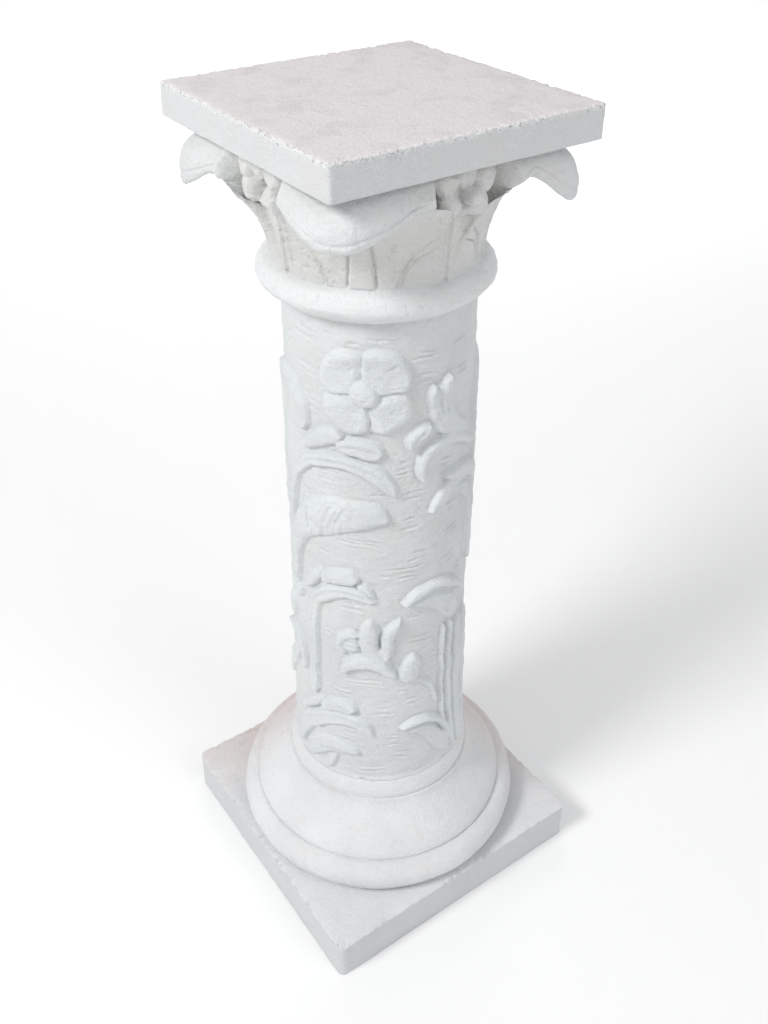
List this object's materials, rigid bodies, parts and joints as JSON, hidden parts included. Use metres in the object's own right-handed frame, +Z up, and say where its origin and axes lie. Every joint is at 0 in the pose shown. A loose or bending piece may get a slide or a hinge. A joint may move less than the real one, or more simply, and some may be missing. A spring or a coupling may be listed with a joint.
{
  "type": "decorative column pedestal",
  "caption": "Cast plaster pedestal column: square slab on a capital of corner leaves and side flowers, shaft carved with arching leaves, round moulded base on a square plinth.",
  "frame": {"origin": "centre of the plinth's underside, on the floor", "axes": "+Z up the column, X and Y square to the sides of the plinth and the top slab"},
  "size_m": [0.289, 0.289, 0.8],
  "materials": {
    "painted_plaster_base": "matt white masonry paint on cast plaster",
    "painted_plaster_shaft": "matt off-white paint on cast plaster, brush marked",
    "painted_plaster_capital": "matt off-white paint on cast plaster, worn at the arrises"
  },
  "bodies": {
    "root": {"base": "painted_plaster_base", "shaft": "painted_plaster_shaft", "capital": "painted_plaster_capital"}
  },
  "joints": []
}
